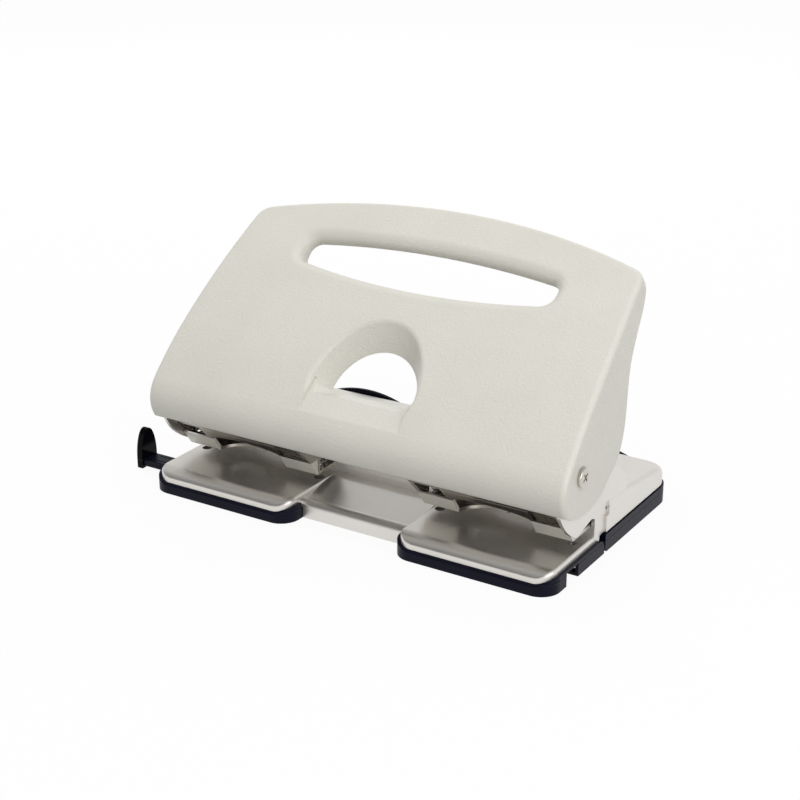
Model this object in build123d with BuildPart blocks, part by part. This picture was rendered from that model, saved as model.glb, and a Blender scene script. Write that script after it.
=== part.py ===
"""Four-hole desk punch with a wide pressed-steel lever handle.

The frame is X to the right along the punch, Y from the paper side to the rear and Z up.
The origin is the centre of the base's footprint, on the desk. All sizes are millimetres.
"""
import os
from math import cos, pi, radians, sin, sqrt

from build123d import *

os.makedirs("parts", exist_ok=True)

# Base and feet
base_end_margin = 8.6
base_depth = 153.5
sheet = 2.0
trim_reach = 0.6
trim_wall = 1.6
trim_gap = 0.2
floor_thickness = 1.6
corner_radius = 11.5
rear_corner_radius = 13.0
rear_bow = 3.0
table_height = 13.0
table_front_height = 9.0
table_front_run = 9.2
table_edge_radius = 1.8
table_inner_margin = 6.8
skirt_depth = 8.6
rim_step = 4.0
bridge_setback = 15.2
bridge_lip_height = 5.0
bridge_run = 31.0

# Paper throat and hole pattern
throat_depth = 53.6
throat_height = 5.6
hole_margin = 12.0
hole_pitch = 80.0
pin_diameter = 5.5

# Shelf and rear deck
shelf_depth = 15.0
deck_front_height = 29.5
deck_rear_height = 19.4
deck_skirt_gap = 0.8
ridge_radius = 4.0

# Side ears and pivot
ear_inset = 1.2
pivot_height = 60.0
pivot_setback = 25.2
pivot_boss_radius = 11.0
screw_radius = 4.0
screw_head_radius = 5.5
screw_head_thickness = 1.9
nut_radius = 6.0
nut_thickness = 2.2
washer_radius = 8.0

# Handle, with heights and lengths counted from the pivot
handle_travel = 33.0
handle_slope = 43.7
handle_wall = 1.6
handle_round = 3.0
slot_round = 6.4
arch_round = 3.0
toe_reach = 17.05
toe_drop = 16.4
toe_slope = 119.6
toe_radius = 19.6
toe_sweep = 70.0
waist_radius = 227.0
waist_sweep = 9.6
brow_radius = 578.0
brow_sweep = 12.0
toe_overhang = 4.4
middle_overhang = 1.1
top_set_in = 4.4
top_length = 139.5
corner_length = 118.4
handle_corner_radius = 11.0
slot_half_width = 81.0
slot_low = 79.8
slot_high = 108.6
slot_end_low = 87.4
slot_end_high = 102.6
collar_level = -2.5
arch_half_width = 33.4
arch_base = 5.6
arch_top = 59.0
arch_mouth = 14.5
window_half_width = 25.8
window_base = 14.4
window_top = 43.8
window_level = 0.8
ramp_half_width = 32.0
ramp_low = -6.0
ramp_high = 16.0
ramp_depth = 3.2
cheek_curve = [
    (108.5, 92.2),
    (86.0, 76.5),
    (83.5, 69.5),
    (72.0, 54.0),
    (63.0, 40.5),
    (58.4, 24.5),
    (54.6, 8.0),
    (48.0, -4.2),
    (38.1, -12.0),
    (24.9, -19.2),
    (13.4, -22.5),
    (3.6, -22.9),
    (-5.4, -21.8),
    (-12.0, -19.6),
    (-18.0, -15.8),
]

# Punch brackets
bracket_sheet = 1.8
bracket_end_margin = 5.0
lip_inner = 23.5
lip_reach = 8.5
lip_run = 6.5
lip_rise = 9.1
face_run = 13.5
face_rise = 13.9
guide_height = 18.4
arch_depth = 6.2
arch_rise = 5.0
peep_width = 16.0
peep_height = 8.0
peep_offset = 5.8
pointer_width = 3.2
pointer_length = 2.4
rivet_inset = 7.0
rivet_radius = 2.0
rivet_head_radius = 3.4
rivet_head_thickness = 1.3

# Pins, springs and clips
running_gap = 0.05
pin_lift = 0.8
cam_drop = 9.0
head_radius = 5.2
head_thickness = 2.2
clip_thickness = 1.0
clip_radius = 5.2
clip_gap = 0.2
groove_depth = 0.6
wire_diameter = 1.0
coil_radius = 4.3
coil_turns = 5
die_thickness = 2.5
die_width = 12.0
die_end_margin = 2.5

# Press frames
frame_sheet = 3.0
frame_web = 2.0
web_low = 4.0
web_high = 52.0

# Guide bar
bar_width = 11.4
bar_thickness = 4.4
bar_level = 2.2
bar_setback = 25.4
bar_pull = 21.8
bar_tail = 24.2
bar_side_gap = 0.15
channel_width = 13.4
channel_height = 7.6
stop_thickness = 4.6
stop_width = 13.6
stop_height = 24.5
stop_belly = 7.0
stop_level = 0.8

# Studs and chip tray
stud_radius = 2.6
stud_offset = 8.0
stud_height = 6.4
boss_radius = 4.2
stud_screw_radius = 1.5
stud_head_radius = 2.9
stud_head_thickness = 1.4
foot_setback = 5.4
tray_gap = 1.2
tray_height = 10.6
hinge_height = 4.0
hinge_setback = 3.4
hinge_pin_radius = 1.5
hinge_eye_radius = 3.2
hinge_lug = 5.0
hinge_offset = 20.0
hinge_gap = 0.35
gate_half = 27.0
hump_height = 21.6
hump_dip_height = 15.8
hump_inner_inset = 79.2
hump_middle_inset = 45.2
hump_outer_inset = 13.2

# Places worked out from the sizes above
front_y = -base_depth / 2
rear_y = base_depth / 2
base_half = 1.5 * hole_pitch + base_end_margin
trim_half = base_half + trim_reach
foot_in = hole_pitch / 2 - table_inner_margin
table_in = foot_in + trim_wall + trim_gap
half_width_toe = base_half + toe_overhang
half_width_middle = base_half + middle_overhang
half_width_top = base_half - top_set_in
skirt_level = tray_height + deck_skirt_gap
bracket_half = hole_pitch / 2 + bracket_end_margin
die_half_length = hole_pitch / 2 + die_end_margin
peep_centre = hole_pitch / 2 - peep_offset
stud_inset = hole_pitch / 2 - stud_offset
hinge_spread = hole_pitch - hinge_offset
bar_length = 2 * trim_half + bar_pull - bar_tail
hump_inner = trim_half - hump_inner_inset
hump_middle = trim_half - hump_middle_inset
hump_outer = trim_half - hump_outer_inset
ear_out = base_half - ear_inset
stop_y = front_y + throat_depth
hole_y = stop_y - hole_margin
throat_top = table_height + throat_height
shelf_y = stop_y + shelf_depth
pivot_y = front_y + pivot_setback
cam_radius = hole_y - pivot_y
pin_stroke = cam_radius * radians(handle_travel)
pin_radius = pin_diameter / 2
seam_y = shelf_y - foot_setback
tray_y = seam_y + tray_gap
hinge_y = tray_y + hinge_setback
bar_y = front_y + bar_setback
table_under = table_height - sheet
guide_top = throat_top + guide_height + bracket_sheet
head_top = pivot_height - cam_drop - running_gap
clip_top = throat_top + guide_height - clip_gap
lip_y = hole_y - lip_reach
deck_fall = (deck_front_height - deck_rear_height) / (rear_y - shelf_y)
pin_places = [side * hole_pitch + half * hole_pitch / 2 for side in (-1, 1) for half in (-1, 1)]
rivet_reach = bracket_half - rivet_inset
rivet_places = [hole_pitch + share * rivet_reach for share in (-1.0, -0.42, 0.42, 1.0)]
stud_places = [
    (hole_pitch + reach, y)
    for reach in (-stud_inset, stud_inset)
    for y in (front_y + 14.0, stop_y - 2.5)
]
lift = radians(handle_slope)
handle_plane = Plane(
    origin=(0, pivot_y, pivot_height),
    x_dir=(1, 0, 0),
    z_dir=(0, -sin(lift), cos(lift)),
)


def slab(section, low_x, high_x, mode=Mode.ADD):
    """Extrude a side section, drawn in Y and Z, from one X to another."""
    with BuildSketch(Plane.YZ.offset(low_x)) as face:
        add(section)
    extrude(face.sketch, amount=high_x - low_x, mode=mode)


def disc(x, y, low, high, radius, mode=Mode.ADD):
    """Upright cylinder at one place between two heights."""
    with BuildSketch(Plane.XY.offset(low)) as face:
        with Locations((x, y)):
            Circle(radius)
    extrude(face.sketch, amount=high - low, mode=mode)


def block(x, y, z, mode=Mode.ADD):
    """Box between a low and a high value on each axis."""
    with Locations(((x[0] + x[1]) / 2, (y[0] + y[1]) / 2, (z[0] + z[1]) / 2)):
        Box(x[1] - x[0], y[1] - y[0], z[1] - z[0], mode=mode)


def table_section(inset, low):
    """Side outline of a front table: flat, with its front edge curving down."""
    drop = table_height - table_front_height
    bend = (table_front_run**2 + drop**2) / (2 * drop) - inset
    nose_y = front_y + trim_wall + trim_gap + inset
    flat_y = nose_y - inset + table_front_run
    top = table_height - inset
    nose_z = top - bend + sqrt(bend**2 - (flat_y - nose_y) ** 2)
    with BuildSketch() as section:
        with BuildLine():
            Line((nose_y, low), (nose_y, nose_z))
            TangentArc((flat_y, top), (nose_y, nose_z), tangent=(-1, 0))
            Polyline((flat_y, top), (stop_y + sheet, top), (stop_y + sheet, low), (nose_y, low))
        make_face()
    return section.sketch


def table_form(inset, low):
    """The right table's form, drawn in by a sheet's thickness."""
    with BuildPart() as form:
        slab(table_section(inset, low), table_in + inset, ear_out - inset)
        front_edges = form.edges().filter_by(Axis.Z).group_by(Axis.Y)[0]
        fillet(front_edges, corner_radius - trim_wall - inset)
        if inset < table_edge_radius:
            top = form.faces().sort_by(Axis.Z)[-1]
            sides = top.edges().filter_by(Axis.Y)
            fillet(sides, table_edge_radius - inset)
    return form.part


def rear_plan(half, front, back, radius):
    """Plan of the rear: square at its front, round corners and a slightly bowed back edge."""
    with BuildSketch() as plan:
        with BuildLine():
            Polyline((-half, back - rear_bow), (-half, front), (half, front), (half, back - rear_bow))
            ThreePointArc((half, back - rear_bow), (0, back), (-half, back - rear_bow))
        make_face()
        corners = plan.vertices().filter_by(lambda v: v.Y > front + 1)
        fillet(corners, radius)
    return plan.sketch


def deck_form(inset, low):
    """The sloping rear deck and its skirts, drawn in by a sheet's thickness."""
    back = rear_y + 10
    front = shelf_y + inset
    top = deck_front_height - inset
    with BuildPart() as form:
        with BuildSketch(Plane.YZ.offset(-base_half)):
            Polygon(
                (front, low),
                (front, top - deck_fall * inset),
                (back, top - deck_fall * (back - shelf_y)),
                (back, low),
                align=None,
            )
        extrude(amount=2 * base_half)
        with BuildSketch(Plane.XY.offset(low)):
            deck_back = rear_y - trim_wall - trim_reach - inset
            add(rear_plan(base_half - inset, front, deck_back, rear_corner_radius - inset))
        extrude(amount=deck_front_height - low, mode=Mode.INTERSECT)
        crest = form.faces().filter_by(lambda f: f.normal_at().Z > 0.9).sort_by(Axis.Z)[-1]
        fillet(crest.edges(), ridge_radius - inset)
    return form.part


def bridge_section(inset, low):
    """Side outline of the lower strip between the tables, with its front lip."""
    start = front_y + bridge_setback + inset
    rise = front_y + bridge_setback + bridge_run
    knee = (front_y + bridge_setback + 6.0, bridge_lip_height + 4.8 - inset)
    with BuildSketch() as section:
        with BuildLine():
            Line((start, low), (start, bridge_lip_height))
            TangentArc((start, bridge_lip_height), knee, tangent=(0, 1))
            Polyline(
                knee,
                (rise, table_height - inset),
                (stop_y + sheet, table_height - inset),
                (stop_y + sheet, low),
                (start, low),
            )
        make_face()
    return section.sketch


def ear_section():
    """Side outline of an ear: nose over the throat, pivot boss, and the hump down to the deck."""
    nose = (pivot_y - 12.9, pivot_height - 19.6)
    throat = (stop_y - 22.5, throat_top + 3.6)
    boss_end = (
        pivot_y + pivot_boss_radius * cos(radians(40)),
        pivot_height + pivot_boss_radius * sin(radians(40)),
    )
    hump = (shelf_y + 6.5, pivot_height - 14.2)
    hump_foot = (shelf_y + 23.5, deck_front_height - 4.0)
    post_foot = table_height - skirt_depth
    with BuildSketch() as section:
        with BuildLine():
            Polyline(
                (stop_y, post_foot),
                (stop_y, throat_top + 5.2),
                (stop_y - 4.0, throat_top + 6.9),
                (stop_y - 19.0, throat_top + 3.2),
                throat,
            )
            ThreePointArc(throat, (nose[0] + 7.6, nose[1] - 10.2), nose)
            Line(nose, (pivot_y - pivot_boss_radius, pivot_height))
            ThreePointArc(
                (pivot_y - pivot_boss_radius, pivot_height),
                (pivot_y, pivot_height + pivot_boss_radius),
                boss_end,
            )
            Line(boss_end, hump)
            ThreePointArc(hump, (shelf_y + 19.0, pivot_height - 22.0), hump_foot)
            Polyline(
                hump_foot,
                (hump_foot[0], skirt_level),
                (seam_y - 3.2, skirt_level),
                (seam_y - 3.2, post_foot),
                (stop_y, post_foot),
            )
        make_face()
        with Locations((pivot_y, pivot_height)):
            Circle(screw_radius, mode=Mode.SUBTRACT)
        with Locations((shelf_y - 1.5, 25.0)):
            Circle(1.0, mode=Mode.SUBTRACT)
    return section.sketch


# The base: one pressed sheet with two front tables, the bridge, the shelf, the rear deck and the ears
table_outer = table_form(0, table_height - skirt_depth)
table_inner = table_form(sheet, -1)
deck_outer = deck_form(0, skirt_level)
deck_inner = deck_form(sheet, -1)
ear = ear_section()
with BuildPart() as base_plate:
    slab(bridge_section(0, 0), -table_in, table_in)
    slab(bridge_section(sheet, -1), -table_in, table_in, mode=Mode.SUBTRACT)
    for side in (-1, 1):
        edges_x = sorted((side * (foot_in - trim_gap), side * table_in))
        block(edges_x, (front_y, stop_y), (-1, bridge_lip_height + 1), mode=Mode.SUBTRACT)
    add(table_outer)
    add(mirror(table_outer, about=Plane.YZ, mode=Mode.PRIVATE))
    add(table_inner, mode=Mode.SUBTRACT)
    add(mirror(table_inner, about=Plane.YZ, mode=Mode.PRIVATE), mode=Mode.SUBTRACT)
    add(deck_outer)
    add(deck_inner, mode=Mode.SUBTRACT)
    block((-ear_out, ear_out), (stop_y, stop_y + sheet), (table_under, throat_top))
    block((-ear_out, ear_out), (stop_y, shelf_y + sheet), (throat_top - sheet, throat_top))
    for side in (-1, 1):
        slab(ear, *sorted((side * (ear_out - sheet), side * ear_out)))
        skirt_x = sorted((side * (base_half - sheet), side * base_half))
        block(skirt_x, (shelf_y - 2.8, shelf_y + 1), (skirt_level, throat_top + 2.2))
        bar_path_x = sorted((side * (table_in - 1), side * (ear_out + 1)))
        bar_path_y = (bar_y - channel_width / 2, bar_y + channel_width / 2)
        block(bar_path_x, bar_path_y, (-1, channel_height), mode=Mode.SUBTRACT)
        for x, y in stud_places:
            disc(side * x, y, table_under - stud_height, table_under, stud_radius)
            disc(side * x, y, table_under - stud_height, table_under, stud_screw_radius, mode=Mode.SUBTRACT)
        for x in rivet_places:
            disc(side * x, shelf_y - shelf_depth / 2, throat_top - sheet, throat_top, rivet_radius, mode=Mode.SUBTRACT)
    for x in pin_places:
        disc(x, hole_y, table_under, table_height, pin_radius + 0.15, mode=Mode.SUBTRACT)

# Front feet: black pans under the two tables, with the guide channel and the tray's hinge lugs
with BuildPart() as front_foot_right:
    with BuildSketch(Plane.YZ.offset(foot_in)):
        with BuildLine():
            flat_y = front_y + trim_wall + trim_gap + table_front_run
            Line((front_y, 0), (front_y, table_front_height - rim_step))
            TangentArc(
                (flat_y, table_height - rim_step),
                (front_y, table_front_height - rim_step),
                tangent=(-1, 0),
            )
            Line((flat_y, table_height - rim_step), (seam_y - 6, table_height - rim_step))
            TangentArc(
                (seam_y - 6, table_height - rim_step),
                (seam_y, table_height - rim_step - 5),
                tangent=(1, 0),
            )
            Polyline((seam_y, table_height - rim_step - 5), (seam_y, 0), (front_y, 0))
        make_face()
    extrude(amount=trim_half - foot_in)
    fillet(front_foot_right.edges().filter_by(Axis.Z).group_by(Axis.Y)[0], corner_radius)
    with BuildSketch(Plane.XY.offset(floor_thickness)) as pan:
        with Locations(((foot_in + trim_half) / 2, (front_y + seam_y) / 2)):
            Rectangle(trim_half - foot_in - 2 * trim_wall, seam_y - front_y - 2 * trim_wall)
        fillet(pan.vertices().group_by(Axis.Y)[0], corner_radius - trim_wall)
    extrude(amount=table_height, mode=Mode.SUBTRACT)
    block(
        (foot_in - 1, foot_in + trim_wall + trim_gap),
        (front_y + bridge_setback - 0.8, seam_y + 1),
        (bridge_lip_height + 0.2, table_height),
        mode=Mode.SUBTRACT,
    )
    gate_x = (hole_pitch - gate_half, hole_pitch + gate_half)
    block(gate_x, (seam_y - 3, seam_y + 1), (floor_thickness, table_height), mode=Mode.SUBTRACT)
    for rail in (-1, 1):
        near = bar_y + rail * (bar_width / 2 + bar_side_gap)
        rail_y = sorted((near, near + rail * 1.4))
        rail_z = (floor_thickness, bar_level + bar_thickness + 0.3)
        block((foot_in + trim_wall + 3, trim_half - 9), rail_y, rail_z)
        for x in (hole_pitch - 24, hole_pitch + 24):
            keeper_y = sorted((near - rail * 0.8, near + rail * 1.4))
            keeper_z = (bar_level + bar_thickness + 0.1, bar_level + bar_thickness + 1.2)
            block((x - 4, x + 4), keeper_y, keeper_z)
    for x in (hole_pitch - 24, hole_pitch + 24):
        block((x - 4, x + 4), (bar_y - 6, bar_y + 6), (floor_thickness, bar_level - running_gap))
    notch_y = (bar_y - channel_width / 2, bar_y + channel_width / 2)
    block((foot_in - 1, foot_in + 6), notch_y, (-1, channel_height), mode=Mode.SUBTRACT)
    block((trim_half - 7, trim_half + 1), notch_y, (-1, channel_height), mode=Mode.SUBTRACT)
    for x, y in stud_places:
        disc(x, y, 0, table_under - stud_height, boss_radius)
        disc(x, y, 0, table_under - stud_height, stud_screw_radius + 0.1, mode=Mode.SUBTRACT)
        disc(x, y, 0, 2.2, stud_head_radius + 0.4, mode=Mode.SUBTRACT)
    with BuildSketch(Plane.YZ.offset(hinge_spread - hinge_lug / 2)):
        with Locations((hinge_y, hinge_height)):
            Circle(hinge_eye_radius)
        with Locations(((seam_y - 1 + hinge_y) / 2, hinge_height)):
            Rectangle(hinge_y - seam_y + 1, 2 * hinge_eye_radius)
        with Locations((hinge_y, hinge_height)):
            Circle(hinge_pin_radius, mode=Mode.SUBTRACT)
    extrude(amount=hinge_lug)
with BuildPart() as front_foot_left:
    add(mirror(front_foot_right.part, about=Plane.YZ, mode=Mode.PRIVATE))

# Chip tray: the black tub under the deck, hinged at its front edge so that its rear drops open
with BuildPart() as chip_tray:
    with BuildSketch():
        add(rear_plan(trim_half, tray_y, rear_y, rear_corner_radius + 1.0))
    extrude(amount=hump_height + 2)
    fillet(chip_tray.edges().group_by(Axis.Z)[0].sort_by(Axis.Y)[0], 2.5)
    with BuildSketch(Plane.XY.offset(floor_thickness)):
        inner_half = trim_half - trim_wall
        add(rear_plan(inner_half, tray_y + trim_wall, rear_y - trim_wall, rear_corner_radius + 1.0 - trim_wall))
    extrude(amount=hump_height + 2, mode=Mode.SUBTRACT)
    with BuildSketch(Plane.XZ.offset(-rear_y - 5)):
        with BuildLine():
            Polyline(
                (-trim_half - 1, tray_height),
                (-trim_half - 1, -1),
                (trim_half + 1, -1),
                (trim_half + 1, tray_height),
                (hump_outer, tray_height),
            )
            ThreePointArc((hump_outer, tray_height), (hump_middle, hump_height), (hump_inner, hump_dip_height))
            Line((hump_inner, hump_dip_height), (-hump_inner, hump_dip_height))
            ThreePointArc((-hump_inner, hump_dip_height), (-hump_middle, hump_height), (-hump_outer, tray_height))
            Line((-hump_outer, tray_height), (-trim_half - 1, tray_height))
        make_face()
    extrude(amount=base_depth * 1.2, mode=Mode.INTERSECT)
    block((-trim_half, trim_half), (tray_y - 1, rear_y - 34), (tray_height, hump_height + 5), mode=Mode.SUBTRACT)
    for side in (-1, 1):
        gate_x = sorted((side * (hole_pitch - gate_half), side * (hole_pitch + gate_half)))
        block(gate_x, (tray_y - 1, tray_y + trim_wall + 0.1), (floor_thickness, tray_height + 1), mode=Mode.SUBTRACT)
        slot = hinge_lug / 2 + hinge_gap
        lug_x = (side * hinge_spread - slot, side * hinge_spread + slot)
        block(lug_x, (tray_y - 1, hinge_y + hinge_eye_radius + 0.6), (-1, tray_height), mode=Mode.SUBTRACT)
        for hand in (-1, 1):
            near = side * hinge_spread + hand * slot
            low, high = sorted((near, near + hand * 2.6))
            with BuildSketch(Plane.YZ.offset(low)):
                with Locations((hinge_y, hinge_height)):
                    Circle(hinge_eye_radius)
                with Locations((hinge_y, (hinge_height + 0.8) / 2)):
                    Rectangle(2 * hinge_eye_radius, hinge_height - 0.8)
            extrude(amount=high - low)
            with BuildSketch(Plane.YZ.offset(low)):
                with Locations((hinge_y, hinge_height)):
                    Circle(hinge_pin_radius + running_gap)
            extrude(amount=high - low, mode=Mode.SUBTRACT)

# Hinge pins of the tray, held tight in the feet's lugs
pin_half = hinge_lug / 2 + hinge_gap + 2.6
hinge_pins = []
for side in (-1, 1):
    with BuildPart() as hinge_pin:
        with BuildSketch(Plane.YZ.offset(side * hinge_spread - pin_half)):
            with Locations((hinge_y, hinge_height)):
                Circle(hinge_pin_radius)
        extrude(amount=2 * pin_half)
        chamfer(hinge_pin.edges().filter_by(GeomType.CIRCLE), 0.3)
    hinge_pins.append(hinge_pin)
tray_pin_left, tray_pin_right = hinge_pins

# Screws that hold each foot to the studs of the sheet
with BuildPart() as foot_screws_right:
    for x, y in stud_places:
        disc(x, y, 0.5, 0.5 + stud_head_thickness, stud_head_radius)
        disc(x, y, 0.5 + stud_head_thickness, table_under - 1.5, stud_screw_radius)
        block((x - 0.4, x + 0.4), (y - 1.8, y + 1.8), (0, 1.2), mode=Mode.SUBTRACT)
        block((x - 1.8, x + 1.8), (y - 0.4, y + 0.4), (0, 1.2), mode=Mode.SUBTRACT)
with BuildPart() as foot_screws_left:
    add(mirror(foot_screws_right.part, about=Plane.YZ, mode=Mode.PRIVATE))

# Guide bar: slides out to the left in the feet's channels and sets the sheet's place
bar_left = -(trim_half + bar_pull)
bar_z = (bar_level, bar_level + bar_thickness)
with BuildPart() as guide_bar:
    block((bar_left, bar_left + bar_length), (bar_y - bar_width / 2, bar_y + bar_width / 2), bar_z)
    chamfer(guide_bar.edges().filter_by(Axis.X), 0.4)
    groove_x = (bar_left + 6, bar_left + bar_length - 6)
    block(groove_x, (bar_y + 2.6, bar_y + 3.4), (bar_z[1] - 0.7, bar_z[1] + 1), mode=Mode.SUBTRACT)
    block(groove_x, (bar_y - 3.4, bar_y - 2.6), (bar_z[1] - 0.7, bar_z[1] + 1), mode=Mode.SUBTRACT)

# End stop: the upright rounded tab at the bar's outer end
with BuildPart() as guide_end_stop:
    with BuildSketch(Plane.YZ.offset(bar_left - stop_thickness)):
        with Locations((bar_y, stop_belly)):
            Ellipse(stop_width / 2, stop_height - stop_belly)
            Rectangle(stop_width, stop_height, align=(Align.CENTER, Align.MIN), mode=Mode.INTERSECT)
            Rectangle(stop_width, stop_belly - stop_level, align=(Align.CENTER, Align.MAX))
    extrude(amount=stop_thickness)
    outer_edges = guide_end_stop.edges().group_by(Axis.X)[0]
    fillet(outer_edges, 1.4)

# Punch brackets: bent steel housings that guide the pins above the throat
bend_low = (lip_y, throat_top)
bend_high = (lip_y - lip_run, throat_top + lip_rise)
tip = (bend_high[0] - face_run, bend_high[1] + face_rise)
web_y = stop_y + 0.35
gusset_y = hole_y - clip_radius - 1.0
brackets = []
for side in (-1, 1):
    centre = side * hole_pitch
    ends = (centre - bracket_half, centre + bracket_half)
    with BuildPart() as bracket:
        with BuildSketch(Plane.YZ.offset(ends[0])):
            with BuildLine():
                Polyline((shelf_y - 0.6, throat_top), bend_low, bend_high, tip)
                offset(amount=bracket_sheet, side=Side.RIGHT)
            make_face()
        extrude(amount=2 * bracket_half)
        block(ends, (web_y, web_y + bracket_sheet), (throat_top, guide_top))
        block(ends, (tip[0] + 4.4, web_y + bracket_sheet), (guide_top - bracket_sheet, guide_top))
        for near in (ends[0], ends[1] - bracket_sheet):
            with BuildSketch(Plane.YZ.offset(near)):
                with BuildLine():
                    Polyline(
                        tip,
                        (tip[0] + 5.0, tip[1]),
                        (tip[0] + 9.0, guide_top),
                        (gusset_y, guide_top),
                        (gusset_y, throat_top),
                        bend_low,
                        bend_high,
                    )
                    ThreePointArc(
                        bend_high,
                        ((bend_high[0] + tip[0]) / 2 + 0.9, (bend_high[1] + tip[1]) / 2 - 0.2),
                        tip,
                    )
                make_face()
            extrude(amount=bracket_sheet)
        with BuildSketch(Plane.XY.offset(throat_top - 1)):
            with Locations((centre, lip_y - 2.4)):
                Ellipse(lip_inner, hole_y + arch_depth - lip_y + 2.4)
            with Locations((centre, lip_y - 2.4 - 20)):
                Rectangle(2 * lip_inner, 40)
            with BuildLine():
                apex = hole_y + arch_depth
                Polyline(
                    (centre - pointer_width / 2, apex + 1),
                    (centre + pointer_width / 2, apex + 1),
                    (centre, apex - pointer_length),
                    (centre - pointer_width / 2, apex + 1),
                )
            make_face(mode=Mode.SUBTRACT)
        extrude(amount=lip_rise + 1.4, mode=Mode.SUBTRACT)
        with BuildSketch(Plane.XZ.offset(-lip_y)):
            with Locations((centre, bend_high[1])):
                Ellipse(lip_inner, arch_rise)
        extrude(amount=40, mode=Mode.SUBTRACT)
        for hand in (-1, 1):
            x = centre + hand * peep_centre
            peep_z = (bend_high[1] + 2.0, bend_high[1] + 2.0 + peep_height)
            block((x - peep_width / 2, x + peep_width / 2), (tip[0] - 2, lip_y - 4), peep_z, mode=Mode.SUBTRACT)
            x = centre + hand * hole_pitch / 2
            disc(x, hole_y, throat_top, guide_top, pin_radius + running_gap, mode=Mode.SUBTRACT)
        for reach in rivet_places:
            y = shelf_y - shelf_depth / 2
            disc(side * reach, y, throat_top, throat_top + bracket_sheet, rivet_radius, mode=Mode.SUBTRACT)
    brackets.append(bracket)
bracket_left, bracket_right = brackets

# Rivets that join each bracket to the shelf
with BuildPart() as bracket_rivets_right:
    for x in rivet_places:
        y = shelf_y - shelf_depth / 2
        under = throat_top - sheet
        over = throat_top + bracket_sheet
        disc(x, y, under - rivet_head_thickness, under, rivet_head_radius)
        disc(x, y, under, over, rivet_radius)
        disc(x, y, over, over + rivet_head_thickness, rivet_head_radius)
    fillet(bracket_rivets_right.edges().group_by(Axis.Z)[-1], 0.9)
with BuildPart() as bracket_rivets_left:
    add(mirror(bracket_rivets_right.part, about=Plane.YZ, mode=Mode.PRIVATE))

# Die plates: hard strips under the tables that the pins shear against
with BuildPart() as die_plate_right:
    die_x = (hole_pitch - die_half_length, hole_pitch + die_half_length)
    block(die_x, (hole_y - die_width / 2, hole_y + die_width / 2), (table_under - die_thickness, table_under))
    for hand in (-1, 1):
        x = hole_pitch + hand * hole_pitch / 2
        disc(x, hole_y, table_under - die_thickness, table_under, pin_radius + running_gap, mode=Mode.SUBTRACT)
with BuildPart() as die_plate_left:
    add(mirror(die_plate_right.part, about=Plane.YZ, mode=Mode.PRIVATE))

# Punch pins: guided by the brackets, pressed by the frames and returned by their springs
tip_z = throat_top + pin_lift
punch_pins = []
for x in pin_places:
    with BuildPart() as pin:
        disc(x, hole_y, tip_z, head_top - head_thickness, pin_radius)
        disc(x, hole_y, head_top - head_thickness, head_top, head_radius)
        chamfer(pin.edges().group_by(Axis.Z)[-1], 0.5)
        disc(x, hole_y, clip_top - clip_thickness, clip_top, pin_radius + 1, mode=Mode.SUBTRACT)
        disc(x, hole_y, clip_top - clip_thickness, clip_top, pin_radius - groove_depth)
        with BuildSketch(Plane.YZ.offset(x - pin_diameter)):
            Polygon(
                (hole_y - pin_radius - 1, tip_z - 0.6),
                (hole_y + pin_radius + 1, tip_z - 0.6),
                (hole_y, tip_z + 1.5),
                align=None,
            )
        extrude(amount=2 * pin_diameter, mode=Mode.SUBTRACT)
    punch_pins.append(pin)
punch_pin_1, punch_pin_2, punch_pin_3, punch_pin_4 = punch_pins

# Clips: open rings in the pins' grooves, resting under the brackets' top plates
pin_clips = []
for x in pin_places:
    with BuildPart() as clip:
        disc(x, hole_y, clip_top - clip_thickness, clip_top, clip_radius)
        disc(x, hole_y, clip_top - clip_thickness, clip_top, pin_radius - groove_depth, mode=Mode.SUBTRACT)
        block((x - 1.7, x + 1.7), (hole_y, hole_y + clip_radius + 1), (clip_top - 2, clip_top + 1), mode=Mode.SUBTRACT)
    pin_clips.append(clip)
pin_clip_1, pin_clip_2, pin_clip_3, pin_clip_4 = pin_clips


def coil_path(x, y, low, high):
    """Helix of a spring's wire as pairs of arcs, a quarter of a turn at a time."""
    pitch = (high - low) / coil_turns

    def spot(turn):
        angle = 2 * pi * turn
        return Vector(x + coil_radius * cos(angle), y + coil_radius * sin(angle), low + pitch * turn)

    def heading(turn):
        angle = 2 * pi * turn
        around = 2 * pi * coil_radius
        return Vector(-around * sin(angle), around * cos(angle), pitch).normalized()

    with BuildLine() as path:
        for step in range(4 * coil_turns):
            start, end = spot(step / 4), spot((step + 1) / 4)
            leave, arrive = heading(step / 4), heading((step + 1) / 4)
            chord = end - start
            along = chord.dot(leave + arrive)
            lean = 2 * (1 - leave.dot(arrive))
            reach = (sqrt(along**2 + lean * chord.dot(chord)) - along) / lean
            joint = (start + end + (leave - arrive) * reach) * 0.5
            TangentArc(start, joint, tangent=leave)
            TangentArc(joint, end, tangent=-arrive, tangent_from_first=False)
    return path.wire(), spot, heading


# Return springs: one coil around each pin between the bracket's plate and the clip
pin_springs = []
spring_low = throat_top + bracket_sheet + wire_diameter / 2 + running_gap
spring_high = clip_top - clip_thickness - wire_diameter / 2 - running_gap
for x in pin_places:
    wire_path, spot, heading = coil_path(x, hole_y, spring_low, spring_high)
    with BuildPart() as spring:
        with BuildSketch(Plane(origin=spot(0), z_dir=heading(0))):
            Circle(wire_diameter / 2)
        sweep(path=wire_path)
    pin_springs.append(spring)
pin_spring_1, pin_spring_2, pin_spring_3, pin_spring_4 = pin_springs
coil_points = [spot(step / 40) for step in range(40 * coil_turns + 1)]
coil_gap = min(
    (coil_points[low] - coil_points[high]).length
    for low in range(len(coil_points))
    for high in range(low + 20, len(coil_points))
)
print(f"least gap between the turns of a spring: {coil_gap - wire_diameter:.2f} mm")


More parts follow.
